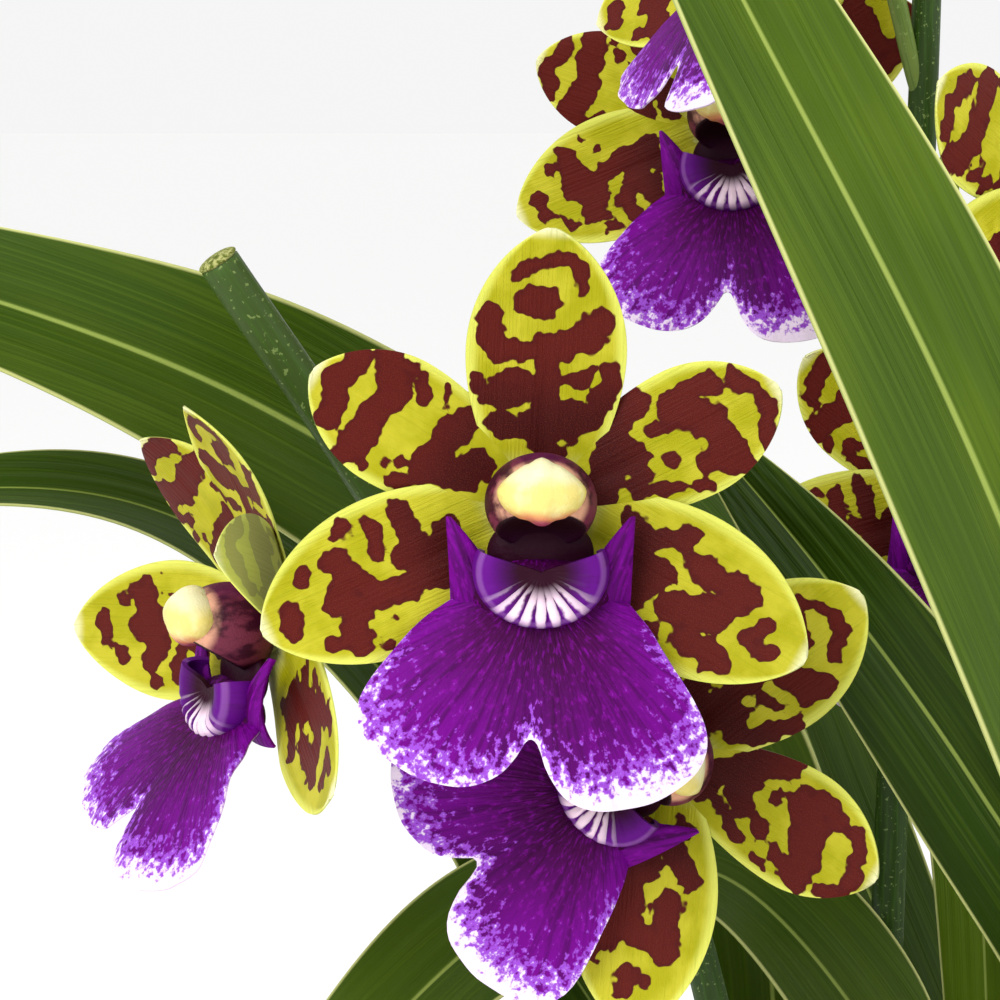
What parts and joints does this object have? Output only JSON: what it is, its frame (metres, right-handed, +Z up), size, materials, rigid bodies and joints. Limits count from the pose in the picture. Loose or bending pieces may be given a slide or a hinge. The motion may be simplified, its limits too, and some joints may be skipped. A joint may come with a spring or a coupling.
{
  "type": "potted zygopetalum orchid",
  "caption": "Zygopetalum orchid in flower: blotched green and maroon tepals, violet fan lips, strap leaves and pseudobulbs in a plain clay pot.",
  "frame": {"origin": "centre of the pot's foot, on the surface that it stands on", "axes": "+Z up the plant, the flowers look towards -Y, +X to the right"},
  "size_m": [0.4067, 0.2771, 0.4369],
  "materials": {
    "terracotta_clay": "matte",
    "pine_bark_chips": "matte",
    "pseudobulb_skin": "satin",
    "orchid_leaf": "satin",
    "spike_stem": "satin",
    "blotched_tepal": "satin",
    "violet_lip": "satin",
    "maroon_column": "satin",
    "cream_anther_cap": "satin"
  },
  "bodies": {
    "root": {"bark_medium": "pine_bark_chips", "inner_anther_cap": "cream_anther_cap", "inner_column": "maroon_column", "inner_lip": "violet_lip", "inner_tepals": "blotched_tepal", "leaf_back_left": "orchid_leaf", "leaf_back_tall": "orchid_leaf", "leaf_front_low": "orchid_leaf", "leaf_inner": "orchid_leaf", "leaf_low_arch": "orchid_leaf", "leaf_lower_left": "orchid_leaf", "leaf_near": "orchid_leaf", "leaf_pale": "orchid_leaf", "leaf_right_back": "orchid_leaf", "leaf_right_low": "orchid_leaf", "leaf_right_tall": "orchid_leaf", "leaf_upper_left": "orchid_leaf", "left_anther_cap": "cream_anther_cap", "left_column": "maroon_column", "left_lip": "violet_lip", "left_tepals": "blotched_tepal", "lower_anther_cap": "cream_anther_cap", "lower_column": "maroon_column", "lower_lip": "violet_lip", "lower_tepals": "blotched_tepal", "main_anther_cap": "cream_anther_cap", "main_column": "maroon_column", "main_lip": "violet_lip", "main_tepals": "blotched_tepal", "pot": "terracotta_clay", "pseudobulb_clump": "pseudobulb_skin", "right_anther_cap": "cream_anther_cap", "right_column": "maroon_column", "right_lip": "violet_lip", "right_tepals": "blotched_tepal", "spike_back": "spike_stem", "spike_cut": "spike_stem", "spike_front": "spike_stem", "top_anther_cap": "cream_anther_cap", "top_column": "maroon_column", "top_lip": "violet_lip", "top_tepals": "blotched_tepal", "upper_anther_cap": "cream_anther_cap", "upper_column": "maroon_column", "upper_lip": "violet_lip", "upper_tepals": "blotched_tepal"}
  },
  "joints": []
}
